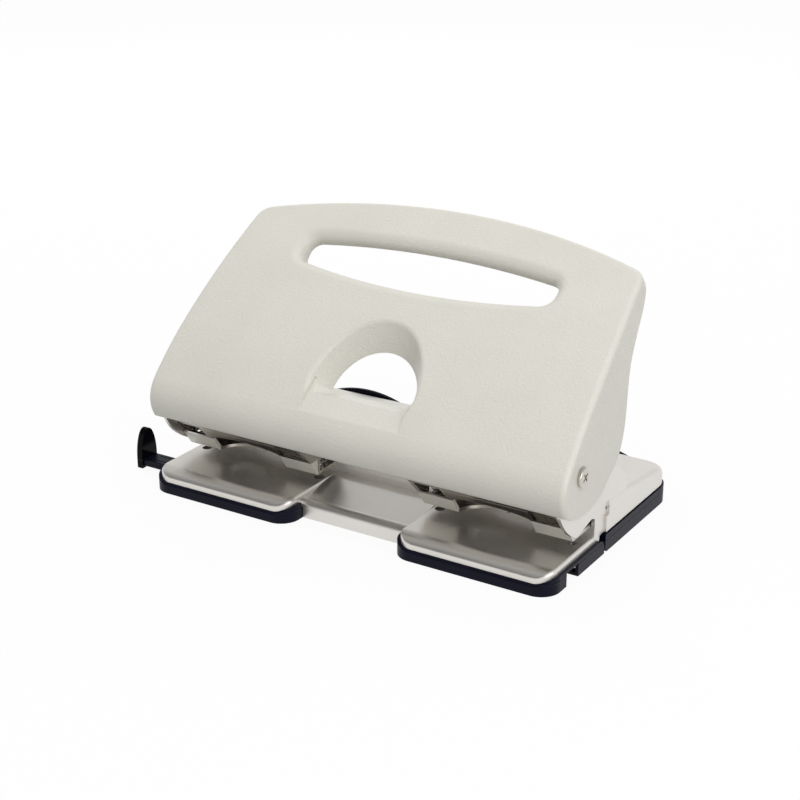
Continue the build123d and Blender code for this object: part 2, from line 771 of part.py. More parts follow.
def lever_region(inset):
    """Side region behind the handle's front curve: toe, waist and brow, drawn in by a wall."""
    slope = radians(toe_slope)
    centre = (
        pivot_y - toe_reach + toe_radius * sin(slope),
        pivot_height - toe_drop - toe_radius * cos(slope),
    )
    before = 25.0
    turn = slope + pi / 2 + radians(before)
    radius = toe_radius - inset
    start = (centre[0] + radius * cos(turn), centre[1] + radius * sin(turn))
    with BuildSketch() as region:
        with BuildLine():
            way = (sin(turn), -cos(turn))
            toe = JernArc(start, way, radius, -(toe_sweep + before))
            waist = JernArc(toe @ 1, toe % 1, waist_radius - inset, -waist_sweep)
            brow = JernArc(waist @ 1, waist % 1, brow_radius - inset, -brow_sweep)
            end = brow @ 1
            back = rear_y + 40 + inset
            Polyline(end, (back, end.Y), (back, -20 - inset), (start[0], -20 - inset), start)
        make_face()
    return region.sketch


def lever_outline(inset):
    """Front outline of the handle in its own plane: drawn-in sides and a slightly arched top."""
    low = half_width_toe - inset
    middle = half_width_middle - inset
    corner = (half_width_top - 0.93 * inset, corner_length - 0.76 * inset)
    with BuildSketch() as outline:
        with BuildLine():
            Polyline((low, -30), (low, -60), (-low, -60), (-low, -30))
            ThreePointArc((low, -30), (middle, 50), corner)
            ThreePointArc((-low, -30), (-middle, 50), (-corner[0], corner[1]))
            ThreePointArc(corner, (0, top_length - inset), (-corner[0], corner[1]))
        make_face()
        corners = outline.vertices().filter_by(lambda v: v.Y > corner[1] - 1)
        fillet(corners, handle_corner_radius - inset)
    return outline.sketch


def slot_outline(outset):
    """Outline of the grip slot in the handle's plane."""
    with BuildSketch() as outline:
        with BuildLine():
            ThreePointArc((-slot_half_width, slot_end_high), (0, slot_high), (slot_half_width, slot_end_high))
            Line((slot_half_width, slot_end_high), (slot_half_width, slot_end_low))
            ThreePointArc((slot_half_width, slot_end_low), (0, slot_low), (-slot_half_width, slot_end_low))
            Line((-slot_half_width, slot_end_low), (-slot_half_width, slot_end_high))
        make_face()
        fillet(outline.vertices(), (slot_end_high - slot_end_low) * 0.48)
        if outset:
            offset(amount=outset)
    return outline.sketch


def arch_outline(level, outset):
    """Outline of the arched funnel at one height over the handle's plane."""
    share = (level - window_level) / (arch_mouth - window_level)
    half = window_half_width + (arch_half_width - window_half_width) * share + outset
    base = window_base + (arch_base - window_base) * share - outset
    top = window_top + (arch_top - window_top) * share + outset
    with BuildSketch() as outline:
        with Locations((0, base)):
            Ellipse(half, top - base)
            Rectangle(3 * half, 2 * top, align=(Align.CENTER, Align.MIN), mode=Mode.INTERSECT)
    return outline.sketch


def funnel(low, high, outset):
    """Solid of the arched funnel between two heights."""
    with BuildPart() as form:
        with BuildSketch(handle_plane.offset(low)):
            add(arch_outline(low, outset))
        with BuildSketch(handle_plane.offset(high)):
            add(arch_outline(high, outset))
        loft(ruled=True)
    return form.part


def ramp(inset):
    """Wedge over the shallow thumb ramp that runs down from the arch's sill."""
    half = ramp_half_width + inset
    surface = toe_reach * sin(lift) + 2.9 - inset
    side_plane = Plane(
        origin=(-half, pivot_y, pivot_height),
        x_dir=(0, cos(lift), sin(lift)),
        z_dir=(1, 0, 0),
    )
    with BuildPart() as form:
        with BuildSketch(side_plane):
            Polygon(
                (ramp_low, surface),
                (ramp_high, surface - ramp_depth),
                (ramp_high, surface + 20),
                (ramp_low, surface + 20),
                align=None,
            )
        extrude(amount=2 * half)
    return form.part


def lever_form(inset, rounding):
    """The handle's filled form: front curve, outline, slot and funnel, drawn in by a wall."""
    reach = 70.0
    with BuildPart() as form:
        slab(lever_region(inset), -half_width_toe - 5, half_width_toe + 5)
        with BuildSketch(handle_plane.offset(-reach)):
            add(lever_outline(inset))
        extrude(amount=2 * reach, mode=Mode.INTERSECT)
        low = collar_level if inset else -reach
        with BuildSketch(handle_plane.offset(low)):
            add(slot_outline(inset))
        extrude(amount=reach - low, mode=Mode.SUBTRACT)
        low = window_level if inset else -3.0
        add(funnel(low, 20.0, 1.2 * inset), mode=Mode.SUBTRACT)
        places = ("outline", "slot") if inset else ("outline", "slot", "arch")
        radii = {"outline": rounding, "slot": slot_round - inset, "arch": arch_round}
        for place in places:
            fillet(front_rim(form, place), radii[place])
        add(ramp(inset), mode=Mode.SUBTRACT)
    return form.part


def front_rim(form, place):
    """Edges of the front surface at one place: its outline, the grip slot or the arch."""
    face_up = handle_plane.z_dir
    fronts = form.faces().filter_by(GeomType.CYLINDER)
    fronts = fronts.filter_by(lambda f: abs(f.normal_at().X) < 1e-3 and f.normal_at().dot(face_up) > 0.5)
    edges = [edge for face in fronts for edge in face.edges()]
    rim = [e for e in edges if sum(e.is_same(other) for other in edges) == 1]
    rim = [e for e in rim if e.center().Z > pivot_height - toe_drop - 1]
    found = {"outline": [], "slot": [], "arch": []}
    for edge in rim:
        spot = handle_plane.to_local_coords(edge.center())
        if abs(spot.X) < slot_half_width + 9 and slot_low - 12 < spot.Y < slot_high + 12:
            found["slot"].append(edge)
        elif abs(spot.X) < arch_half_width + 6 and spot.Y < arch_top + 6:
            found["arch"].append(edge)
        else:
            found["outline"].append(edge)
    return found[place]


# Handle: one drawn steel shell with side cheeks, a rolled grip slot and an arched funnel
with BuildSketch() as cheek_side:
    with BuildLine():
        places = [(pivot_y + y, pivot_height + z) for y, z in cheek_curve]
        edge = Spline(places[1:])
        front = (front_y - 30, places[-1][1] + 8)
        crest = places[0][1] + 30
        Polyline(places[-1], front, (front[0], crest), (places[0][0] + 3, crest), places[0], places[1])
    make_face()
with BuildPart() as handle_shell:
    add(lever_form(0, handle_round))
    with BuildSketch(Plane.YZ.offset(-half_width_toe - 5)):
        add(cheek_side.sketch)
        with Locations((pivot_y, pivot_height)):
            Circle(screw_radius + running_gap, mode=Mode.SUBTRACT)
    extrude(amount=2 * half_width_toe + 10, mode=Mode.INTERSECT)
    add(lever_form(handle_wall, handle_round - handle_wall), mode=Mode.SUBTRACT)


def side_half(length):
    """Half width of the handle at one length from the pivot."""
    known = ((-30.0, half_width_toe), (50.0, half_width_middle), (corner_length, half_width_top))
    total = 0.0
    for here, half in known:
        weight = 1.0
        for other, unused in known:
            if other != here:
                weight *= (length - other) / (here - other)
        total += half * weight
    return total


# Pivot screws, nuts and washers: the handle's cheeks turn on the screws' shoulders
cheek_out = side_half(0) + 0.3
cheek_in = side_half(pivot_boss_radius) - handle_wall
with BuildPart() as pivot_screw_right:
    with BuildSketch(Plane.YZ.offset(ear_out - sheet)):
        with Locations((pivot_y, pivot_height)):
            Circle(screw_radius)
    extrude(amount=cheek_out - ear_out + sheet)
    with BuildSketch(Plane.YZ.offset(cheek_out)):
        with Locations((pivot_y, pivot_height)):
            Circle(screw_head_radius)
    extrude(amount=screw_head_thickness)
    fillet(pivot_screw_right.edges().group_by(Axis.X)[-1], 1.0)
    with BuildSketch(Plane.YZ.offset(cheek_out + screw_head_thickness - 0.8)):
        with Locations((pivot_y, pivot_height)):
            Rectangle(5.6, 1.1, rotation=35)
            Rectangle(1.1, 5.6, rotation=35)
    extrude(amount=1, mode=Mode.SUBTRACT)
    with BuildSketch(Plane.YZ.offset(ear_out - sheet - nut_thickness - 0.4)):
        with Locations((pivot_y, pivot_height)):
            Circle(0.7 * screw_radius)
    extrude(amount=nut_thickness + 0.4)
with BuildPart() as pivot_screw_left:
    add(mirror(pivot_screw_right.part, about=Plane.YZ, mode=Mode.PRIVATE))
with BuildPart() as pivot_nut_right:
    with BuildSketch(Plane.YZ.offset(ear_out - sheet - nut_thickness)):
        with Locations((pivot_y, pivot_height)):
            RegularPolygon(nut_radius, 6)
            Circle(0.7 * screw_radius, mode=Mode.SUBTRACT)
    extrude(amount=nut_thickness)
with BuildPart() as pivot_nut_left:
    add(mirror(pivot_nut_right.part, about=Plane.YZ, mode=Mode.PRIVATE))
with BuildPart() as pivot_washer_right:
    with BuildSketch(Plane.YZ.offset(ear_out)):
        with Locations((pivot_y, pivot_height)):
            Circle(washer_radius)
            Circle(screw_radius, mode=Mode.SUBTRACT)
    extrude(amount=cheek_in - 0.15 - ear_out)
with BuildPart() as pivot_washer_left:
    add(mirror(pivot_washer_right.part, about=Plane.YZ, mode=Mode.PRIVATE))


def cam_point(turn):
    """Point of the pressing edge that meets a flat pin head when the handle has turned this far."""
    angle = radians(turn)
    drop = cam_drop + cam_radius * angle
    return (
        pivot_y + cam_radius * cos(angle) + drop * sin(angle),
        pivot_height + cam_radius * sin(angle) - drop * cos(angle),
    )


# Press frames: two flanges over a pair of pins, joined by a web under the handle's skin.
# The lower edge of a flange is an involute of the circle that touches the pin's line, so it stays
# over the middle of the flat head and pushes it straight down by the same amount for every degree.
cam_turns = [-8.0 + 3.0 * step for step in range(16)]
with BuildPart() as press_frame_right:
    for hand in (-1, 1):
        x = hole_pitch + hand * hole_pitch / 2
        with BuildSketch(Plane.YZ.offset(x - frame_sheet / 2)) as flange:
            with BuildLine():
                cam = Spline(*[cam_point(turn) for turn in cam_turns])
                rear = [(33.0, 10.0), (52.0, 66.0), (0.0, 62.0), (-9.0, 24.0), (-9.0, 6.0), (5.0, -4.5)]
                Polyline(
                    cam @ 1,
                    *[(pivot_y + y, pivot_height + z) for y, z in rear],
                    cam @ 0,
                )
            make_face()
            add(lever_region(handle_wall), mode=Mode.INTERSECT)
        extrude(amount=frame_sheet)
    low_x = hole_pitch - hole_pitch / 2 - frame_sheet / 2
    high_x = hole_pitch + hole_pitch / 2 + frame_sheet / 2
    with BuildPart(mode=Mode.PRIVATE) as web:
        slab(lever_region(handle_wall), low_x, high_x)
        slab(lever_region(handle_wall + frame_web), low_x, high_x, mode=Mode.SUBTRACT)
        with BuildSketch(handle_plane.offset(-5)):
            with Locations((hole_pitch, (web_low + web_high) / 2)):
                Rectangle(2 * hole_pitch, web_high - web_low)
        extrude(amount=40, mode=Mode.INTERSECT)
    add(web.part)
with BuildPart() as press_frame_left:
    add(mirror(press_frame_right.part, about=Plane.YZ, mode=Mode.PRIVATE))

pieces = {
    "base_plate": base_plate,
    "front_foot_left": front_foot_left,
    "front_foot_right": front_foot_right,
    "foot_screws_left": foot_screws_left,
    "foot_screws_right": foot_screws_right,
    "bracket_left": bracket_left,
    "bracket_right": bracket_right,
    "bracket_rivets_left": bracket_rivets_left,
    "bracket_rivets_right": bracket_rivets_right,
    "die_plate_left": die_plate_left,
    "die_plate_right": die_plate_right,
    "punch_pin_1": punch_pin_1,
    "punch_pin_2": punch_pin_2,
    "punch_pin_3": punch_pin_3,
    "punch_pin_4": punch_pin_4,
    "pin_clip_1": pin_clip_1,
    "pin_clip_2": pin_clip_2,
    "pin_clip_3": pin_clip_3,
    "pin_clip_4": pin_clip_4,
    "pin_spring_1": pin_spring_1,
    "pin_spring_2": pin_spring_2,
    "pin_spring_3": pin_spring_3,
    "pin_spring_4": pin_spring_4,
    "pivot_screw_left": pivot_screw_left,
    "pivot_screw_right": pivot_screw_right,
    "pivot_nut_left": pivot_nut_left,
    "pivot_nut_right": pivot_nut_right,
    "pivot_washer_left": pivot_washer_left,
    "pivot_washer_right": pivot_washer_right,
    "handle_shell": handle_shell,
    "press_frame_left": press_frame_left,
    "press_frame_right": press_frame_right,
    "chip_tray": chip_tray,
    "tray_pin_left": tray_pin_left,
    "tray_pin_right": tray_pin_right,
    "guide_bar": guide_bar,
    "guide_end_stop": guide_end_stop,
}
for name, piece in pieces.items():
    piece.part.label = name
    export_step(piece.part, f"parts/{name}.step")
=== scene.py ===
from math import radians

import bpy
import numpy as np
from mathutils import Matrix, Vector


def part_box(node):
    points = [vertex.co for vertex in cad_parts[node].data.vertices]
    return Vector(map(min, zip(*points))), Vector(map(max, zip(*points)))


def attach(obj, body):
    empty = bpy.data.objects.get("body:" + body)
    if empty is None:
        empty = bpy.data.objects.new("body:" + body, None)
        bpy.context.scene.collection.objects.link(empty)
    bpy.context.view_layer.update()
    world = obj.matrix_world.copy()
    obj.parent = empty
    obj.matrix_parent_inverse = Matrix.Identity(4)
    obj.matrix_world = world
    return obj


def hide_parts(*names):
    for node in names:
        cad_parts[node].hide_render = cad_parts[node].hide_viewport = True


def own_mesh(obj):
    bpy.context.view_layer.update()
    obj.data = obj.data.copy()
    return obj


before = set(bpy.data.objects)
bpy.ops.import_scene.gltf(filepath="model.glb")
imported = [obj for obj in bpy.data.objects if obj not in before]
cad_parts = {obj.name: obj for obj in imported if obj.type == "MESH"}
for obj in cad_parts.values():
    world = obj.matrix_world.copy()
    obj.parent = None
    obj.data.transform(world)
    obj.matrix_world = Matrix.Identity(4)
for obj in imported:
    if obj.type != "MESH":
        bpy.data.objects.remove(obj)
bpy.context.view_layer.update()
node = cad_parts


# The lever handle is one pressed steel sheet with rolled edges, bent down at its ends into
# two cheeks. It is powder-coated in a warm off-white whose fine pebble grain spreads the
# lamps' light without a sharp image.

def noise(tree, place, cells_per_metre, detail):
    """Noise at the points place, with so many cells to the metre."""
    texture = tree.nodes.new("ShaderNodeTexNoise")
    texture.inputs["Scale"].default_value = cells_per_metre
    texture.inputs["Detail"].default_value = detail
    tree.links.new(place, texture.inputs["Vector"])
    return texture


def remapped(tree, source, source_range, result_range, smooth=False):
    """source, carried from source_range to result_range in a straight line, or in a smooth
    step, and held at the ends."""
    scale = tree.nodes.new("ShaderNodeMapRange")
    if smooth:
        scale.interpolation_type = "SMOOTHSTEP"
    for end, value in zip(("From Min", "From Max", "To Min", "To Max"), source_range + result_range):
        scale.inputs[end].default_value = value
    tree.links.new(source, scale.inputs["Value"])
    return scale.outputs["Result"]


def wandering_colour(tree, pattern, borders, shade, tone):
    """The base colour goes from shade to tone while pattern goes between the borders."""
    colour = tree.nodes.new("ShaderNodeValToRGB")
    for stop, border, paint in zip(colour.color_ramp.elements, borders, (shade, tone)):
        stop.position = border
        stop.color = (*paint, 1.0)
    tree.links.new(pattern, colour.inputs["Fac"])
    tree.links.new(colour.outputs["Color"], tree.nodes["Principled BSDF"].inputs["Base Color"])


def uneven_gloss(tree, pattern, borders, gloss, gloss_spread):
    """The roughness is gloss, more or less gloss_spread at the borders of pattern."""
    rough = remapped(tree, pattern, borders, (gloss - gloss_spread, gloss + gloss_spread))
    tree.links.new(rough, tree.nodes["Principled BSDF"].inputs["Roughness"])


def raised_skin(tree, pattern, depth):
    """Bump whose height is depth, in metres, times pattern."""
    skin = tree.nodes.new("ShaderNodeBump")
    skin.inputs["Strength"].default_value = 1.0
    skin.inputs["Distance"].default_value = depth
    tree.links.new(pattern, skin.inputs["Height"])
    tree.links.new(skin.outputs["Normal"], tree.nodes["Principled BSDF"].inputs["Normal"])
    return skin


def coated_sheet(name, tone, shade, grain, grain_depth, gloss, gloss_spread, metal=0.0):
    """Paint on pressed steel. The colour wanders between tone and shade over patches of
    36 mm, and the pebble, a noise of the size grain in metres, raises the skin by
    grain_depth and moves the gloss. metal is how far the coat mirrors as metal does."""
    paint = bpy.data.materials.new(name)
    paint.use_nodes = True
    tree = paint.node_tree
    tree.nodes["Principled BSDF"].inputs["Metallic"].default_value = metal
    place = tree.nodes.new("ShaderNodeTexCoord").outputs["Object"]
    drift = noise(tree, place, cells_per_metre=28.0, detail=3.0)
    wandering_colour(tree, drift.outputs["Fac"], (0.3, 0.7), shade, tone)
    pebble = noise(tree, place, cells_per_metre=1.0 / grain, detail=4.0)
    pebble.inputs["Roughness"].default_value = 0.55
    uneven_gloss(tree, pebble.outputs["Fac"], (0.3, 0.7), gloss, gloss_spread)
    raised_skin(tree, pebble.outputs["Fac"], grain_depth)
    return paint


def dress(names, material):
    """Every material place of these nodes takes the material."""
    for name in names:
        for place in node[name].material_slots:
            place.material = material


handle_paint = coated_sheet(
    "handle pebble coat", (0.715, 0.700, 0.630), (0.690, 0.675, 0.605),
    grain=0.0013, grain_depth=0.00032, gloss=0.34, gloss_spread=0.07,
)
dress(["handle_shell"], handle_paint)


# The base plate is pressed from sheet as the handle is, and is of the same colour, but its
# coat is a smooth pale metallic one, so that the tables softly mirror the dark underside
# of the handle.

base_paint = coated_sheet(
    "base smooth coat", (0.735, 0.712, 0.672), (0.710, 0.687, 0.648),
    grain=0.0050, grain_depth=0.000001, gloss=0.34, gloss_spread=0.02, metal=0.92,
)
dress(["base_plate"], base_paint)


# The feet, the chip tray and the guide bar are moulded in a blue-black plastic with a
# spark-eroded skin. The guide's end stop is the same plastic from a polished cavity, and
# is pushed onto the bar.

def joined(tree, operation, first, second):
    """The sum, product or other joining of first and second, each a socket or a number."""
    step = tree.nodes.new("ShaderNodeMath")
    step.operation = operation
    for entry, value in zip(step.inputs, (first, second)):
        if isinstance(value, float):
            entry.default_value = value
        else:
            tree.links.new(value, entry)
    return step.outputs[0]


def moulded(name, tone, shade, skin_size, skin_depth, gloss, gloss_spread, shine=0.5):
    """Moulded plastic. Its colour wanders between tone and shade over patches of 12 mm,
    and cells of the size skin_size, in metres, raise the skin by skin_depth and move the
    gloss. A round bead stands along the mould's parting, bead_reach to each side of it."""
    parting_height = 0.0062
    bead_reach = 0.0005
    bead_height = 0.0005
    plastic = bpy.data.materials.new(name)
    plastic.use_nodes = True
    tree = plastic.node_tree
    body = tree.nodes["Principled BSDF"]
    body.inputs["IOR"].default_value = 1.49
    body.inputs["Specular IOR Level"].default_value = shine
    place = tree.nodes.new("ShaderNodeTexCoord").outputs["Object"]
    flow = noise(tree, place, cells_per_metre=80.0, detail=2.0)
    wandering_colour(tree, flow.outputs["Fac"], (0.35, 0.65), shade, tone)
    cells = tree.nodes.new("ShaderNodeTexVoronoi")
    cells.inputs["Scale"].default_value = 1.0 / skin_size
    tree.links.new(place, cells.inputs["Vector"])
    uneven_gloss(tree, cells.outputs["Distance"], (0.0, 0.8), gloss, gloss_spread)
    skin = raised_skin(tree, cells.outputs["Distance"], skin_depth)

    spot = tree.nodes.new("ShaderNodeSeparateXYZ")
    tree.links.new(place, spot.inputs["Vector"])
    over_parting = joined(tree, "SUBTRACT", spot.outputs["Z"], parting_height)
    from_parting = joined(tree, "ABSOLUTE", over_parting, 0.0)
    bead = remapped(tree, from_parting, (0.0, bead_reach), (1.0, 0.0), smooth=True)
    parting = raised_skin(tree, bead, bead_height)
    tree.links.new(skin.outputs["Normal"], parting.inputs["Normal"])
    return plastic


eroded_plastic = moulded(
    "blue-black moulded plastic", (0.0042, 0.0050, 0.0150), (0.0032, 0.0038, 0.0115),
    skin_size=0.0004, skin_depth=0.00001, gloss=0.36, gloss_spread=0.04, shine=0.11,
)
dress(["front_foot_left", "front_foot_right", "chip_tray", "guide_bar"], eroded_plastic)

polished_plastic = moulded(
    "polished black plastic", (0.0040, 0.0040, 0.0065), (0.0032, 0.0032, 0.0050),
    skin_size=0.0015, skin_depth=0.000002, gloss=0.11, gloss_spread=0.02, shine=0.06,
)
dress(["guide_end_stop"], polished_plastic)


# The brackets and press frames are blanked and folded from cold-rolled strip, its rolling
# lines along the punch. The brackets are zinc-plated and riveted to the shelf; their zinc is
# coloured darker as painted shade inside them, and their lead-in lips are coloured pale cream.
# The press frames are coloured nearly black as painted shade in the cavities round the pins.

def rolled_metal(name, tone, shade, line_turn, line_size, line_depth, gloss, gloss_spread):
    """Bare or plated metal with fine lines. A noise of the size line_size, in metres, which
    is line_stretch times as long along the lines, and turned by line_turn degrees about
    each axis, raises the skin by line_depth and moves the gloss. The colour clouds over
    patches of 8 mm."""
    line_stretch = 40.0
    metal = bpy.data.materials.new(name)
    metal.use_nodes = True
    tree = metal.node_tree
    tree.nodes["Principled BSDF"].inputs["Metallic"].default_value = 1.0
    place = tree.nodes.new("ShaderNodeTexCoord").outputs["Object"]
    cloud = noise(tree, place, cells_per_metre=120.0, detail=3.0)
    wandering_colour(tree, cloud.outputs["Fac"], (0.3, 0.7), shade, tone)
    along = tree.nodes.new("ShaderNodeMapping")
    along.inputs["Rotation"].default_value = tuple(radians(turn) for turn in line_turn)
    along.inputs["Scale"].default_value = (1.0 / line_stretch, 1.0, 1.0)
    tree.links.new(place, along.inputs["Vector"])
    lines = noise(tree, along.outputs["Vector"], cells_per_metre=1.0 / line_size, detail=2.0)
    uneven_gloss(tree, lines.outputs["Fac"], (0.3, 0.7), gloss, gloss_spread)
    raised_skin(tree, lines.outputs["Fac"], line_depth)
    return metal


# The zinc's tone is darker than bright zinc: painted shade for the insides of the brackets.
zinc = rolled_metal(
    "zinc-plated strip", (0.500, 0.470, 0.430), (0.440, 0.415, 0.380),
    line_turn=(0, 0, 0), line_size=0.0005, line_depth=0.000001, gloss=0.24, gloss_spread=0.03,
)

# The lead-in lips lie in front of the bends at lip_front and under lip_top.
lip_front = -0.0435
lip_top = 0.0278
tree = zinc.node_tree
body = tree.nodes["Principled BSDF"]
spot = tree.nodes.new("ShaderNodeSeparateXYZ")
tree.links.new(tree.nodes["Texture Coordinate"].outputs["Object"], spot.inputs["Vector"])
in_front = joined(tree, "LESS_THAN", spot.outputs["Y"], lip_front)
under = joined(tree, "LESS_THAN", spot.outputs["Z"], lip_top)
on_lip = joined(tree, "MULTIPLY", in_front, under)
# In front of lip_front and under lip_top the colour turns pale cream and the metal share drops to
# 0.2.
bare_zinc = body.inputs["Base Color"].links[0].from_socket
pale_lip_colour = tree.nodes.new("ShaderNodeMix")
pale_lip_colour.data_type = "RGBA"
pale_lip_colour.inputs["B"].default_value = (0.80, 0.78, 0.71, 1.0)
tree.links.new(on_lip, pale_lip_colour.inputs["Factor"])
tree.links.new(bare_zinc, pale_lip_colour.inputs["A"])
tree.links.new(pale_lip_colour.outputs["Result"], body.inputs["Base Color"])
metal_share = remapped(tree, on_lip, source_range=(0.0, 1.0), result_range=(1.0, 0.2))
tree.links.new(metal_share, body.inputs["Metallic"])
dress(["bracket_left", "bracket_right"], zinc)

# The press frames' near-black colour is painted shade for the dark cavities round the pins.
shade_dark_press_strip = rolled_metal(
    "press strip darkened as painted shade", (0.105, 0.100, 0.095), (0.090, 0.086, 0.081),
    line_turn=(0, 0, 0), line_size=0.0006, line_depth=0.000001, gloss=0.42, gloss_spread=0.04,
)
dress(["press_frame_left", "press_frame_right"], shade_dark_press_strip)


# The pins are turned from tool steel and ground to slide in their brackets. The die plates
# are of the same steel, ground flat along their length and fixed under the tables.

# The pins' steel is coloured darker than ground steel, as painted shade in the slots round them.
ground_pin = rolled_metal(
    "ground pin steel", (0.420, 0.415, 0.410), (0.350, 0.345, 0.345),
    line_turn=(0, 0, 0), line_size=0.0003, line_depth=0.000004, gloss=0.22, gloss_spread=0.05,
)
dress(["punch_pin_1", "punch_pin_2", "punch_pin_3", "punch_pin_4"], ground_pin)

ground_die = rolled_metal(
    "ground die steel", (0.520, 0.520, 0.525), (0.440, 0.440, 0.450),
    line_turn=(0, 0, 0), line_size=0.00025, line_depth=0.000004, gloss=0.30, gloss_spread=0.06,
)
dress(["die_plate_left", "die_plate_right"], ground_die)


# Each return spring is five turns of 1 mm patented wire. It stands on its bracket round the
# pin and bears against the clip in the pin's groove; the real spring shortens as the pin goes
# down, but here each is one fixed coil on the base. The clips are blanked from hardened strip.
# The springs and clips are coloured dark as painted shade in the slots round the pins.

spring_steel = rolled_metal(
    "spring steel darkened as painted shade", (0.260, 0.250, 0.235), (0.200, 0.190, 0.180),
    line_turn=(0, 0, 0), line_size=0.0003, line_depth=0.000003, gloss=0.28, gloss_spread=0.06,
)
dress(["pin_clip_1", "pin_clip_2", "pin_clip_3", "pin_clip_4"], spring_steel)


def coiled_wire(name, lowest, highest, wire_radius, turns):
    """A round wire carried along a helix that fills the box from lowest to highest. At t
    from 0 to 1 the helix lies at the angle 2 pi turns t and rises in step with t, and the
    wire's circle stands square to it, between the line to the axis and a line across."""
    turn_steps = 40
    wire_steps = 12
    middle = (np.array(lowest) + np.array(highest)) / 2
    reach = (highest[0] - lowest[0]) / 2 - wire_radius
    start, end = lowest[2] + wire_radius, highest[2] - wire_radius
    rise = np.linspace(0.0, 1.0, turns * turn_steps + 1)[:, None]
    angle = 2 * np.pi * turns * rise
    around = 2 * np.pi * np.arange(wire_steps)[None, :, None] / wire_steps
    level = np.ones_like(angle)
    helix = np.hstack([
        middle[0] + reach * np.cos(angle),
        middle[1] + reach * np.sin(angle),
        start + (end - start) * rise,
    ])
    slope = (end - start) / (2 * np.pi * turns)
    ahead = np.hstack([-reach * np.sin(angle), reach * np.cos(angle), slope * level])
    ahead = ahead / np.linalg.norm(ahead, axis=1)[:, None]
    inward = np.hstack([-np.cos(angle), -np.sin(angle), 0 * level])
    across = np.cross(ahead, inward)
    ring = np.cos(around) * inward[:, None] + np.sin(around) * across[:, None]
    points = (helix[:, None] + wire_radius * ring).reshape(-1, 3)
    along, place = np.meshgrid(np.arange(turns * turn_steps), np.arange(wire_steps), indexing="ij")
    beside = (place + 1) % wire_steps
    skin = np.stack([
        along * wire_steps + place, along * wire_steps + beside,
        (along + 1) * wire_steps + beside, (along + 1) * wire_steps + place,
    ], axis=-1).reshape(-1, 4)
    cut = np.arange(wire_steps)
    ends = [cut[::-1].tolist(), (turns * turn_steps * wire_steps + cut).tolist()]
    mesh = bpy.data.meshes.new(name)
    mesh.from_pydata(points.tolist(), [], skin.tolist() + ends)
    mesh.polygons.foreach_set("use_smooth", np.append(np.ones(len(skin), bool), [False, False]))
    coil = bpy.data.objects.new(name, mesh)
    bpy.context.scene.collection.objects.link(coil)
    return coil


for number in (1, 2, 3, 4):
    lowest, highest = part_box(f"pin_spring_{number}")
    spring = coiled_wire(f"return_spring_{number}", lowest, highest, wire_radius=0.0005, turns=5)
    spring.data.materials.append(spring_steel)
    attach(spring, "base")
    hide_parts(f"pin_spring_{number}")
    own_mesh(spring)


# The screws, nuts, rivets and hinge pins are cold-headed steel with bright nickel on it.
# The washers are blanked from natural nylon sheet, and keep the cheeks off the ears.

nickel = rolled_metal(
    "bright nickel", (0.600, 0.570, 0.520), (0.520, 0.490, 0.445),
    line_turn=(0, 0, 90), line_size=0.0006, line_depth=0.000002, gloss=0.13, gloss_spread=0.03,
)
dress(
    ["pivot_screw_left", "pivot_screw_right", "pivot_nut_left", "pivot_nut_right",
     "bracket_rivets_left", "bracket_rivets_right", "foot_screws_left", "foot_screws_right",
     "tray_pin_left", "tray_pin_right"],
    nickel,
)

nylon = moulded(
    "natural nylon", (0.700, 0.690, 0.640), (0.650, 0.640, 0.590),
    skin_size=0.0006, skin_depth=0.000006, gloss=0.40, gloss_spread=0.05,
)
dress(["pivot_washer_left", "pivot_washer_right"], nylon)


# The floor is a plain white table top. It shows white to the camera, in reflections and
# through glass, with the punch's shadow on it, and gives the punch the light of a mid grey.

def ray_to_eye(tree):
    """The Light Path node, and 1 for the rays that show a thing to the camera, straight,
    off a glossy surface or through glass, or else 0."""
    ray = tree.nodes.new("ShaderNodeLightPath")
    unhindered = joined(tree, "MAXIMUM", ray.outputs["Is Camera Ray"], ray.outputs["Is Glossy Ray"])
    return ray, joined(tree, "MAXIMUM", unhindered, ray.outputs["Is Transmission Ray"])


def mixed_shader(tree, share, first, second, target):
    """target shows the shader first, with so large a share of second mixed in."""
    mix = tree.nodes.new("ShaderNodeMixShader")
    tree.links.new(share, mix.inputs["Fac"])
    tree.links.new(first, mix.inputs[1])
    tree.links.new(second, mix.inputs[2])
    tree.links.new(mix.outputs["Shader"], target.inputs["Surface"])


half_side = 6.0
floor_height = -0.0002
table_top = bpy.data.meshes.new("floor")
corners = np.array([[-1, -1], [1, -1], [1, 1], [-1, 1]]) * half_side
table_top.from_pydata(np.insert(corners, 2, floor_height, axis=1).tolist(), [], [(0, 1, 2, 3)])
floor = bpy.data.objects.new("floor", table_top)
bpy.context.scene.collection.objects.link(floor)

floor_white = bpy.data.materials.new("white table top")
floor_white.use_nodes = True
tree = floor_white.node_tree
tree.nodes.remove(tree.nodes["Principled BSDF"])
mottle = tree.nodes.new("ShaderNodeTexNoise")
mottle.inputs["Scale"].default_value = 3.0
mottle_colour = tree.nodes.new("ShaderNodeValToRGB")
mottle_colour.color_ramp.elements[0].color = (0.78, 0.78, 0.78, 1)
mottle_colour.color_ramp.elements[1].color = (0.82, 0.82, 0.82, 1)
tree.links.new(mottle.outputs["Fac"], mottle_colour.inputs["Fac"])
ray, to_eye = ray_to_eye(tree)
bounced = tree.nodes.new("ShaderNodeMix")
bounced.data_type = "RGBA"
bounced.inputs["B"].default_value = (0.35, 0.35, 0.35, 1)
tree.links.new(ray.outputs["Is Diffuse Ray"], bounced.inputs["Factor"])
tree.links.new(mottle_colour.outputs["Color"], bounced.inputs["A"])
paper = tree.nodes.new("ShaderNodeBsdfDiffuse")
tree.links.new(bounced.outputs["Result"], paper.inputs["Color"])
glow = tree.nodes.new("ShaderNodeEmission")
glow.inputs["Strength"].default_value = 1.0
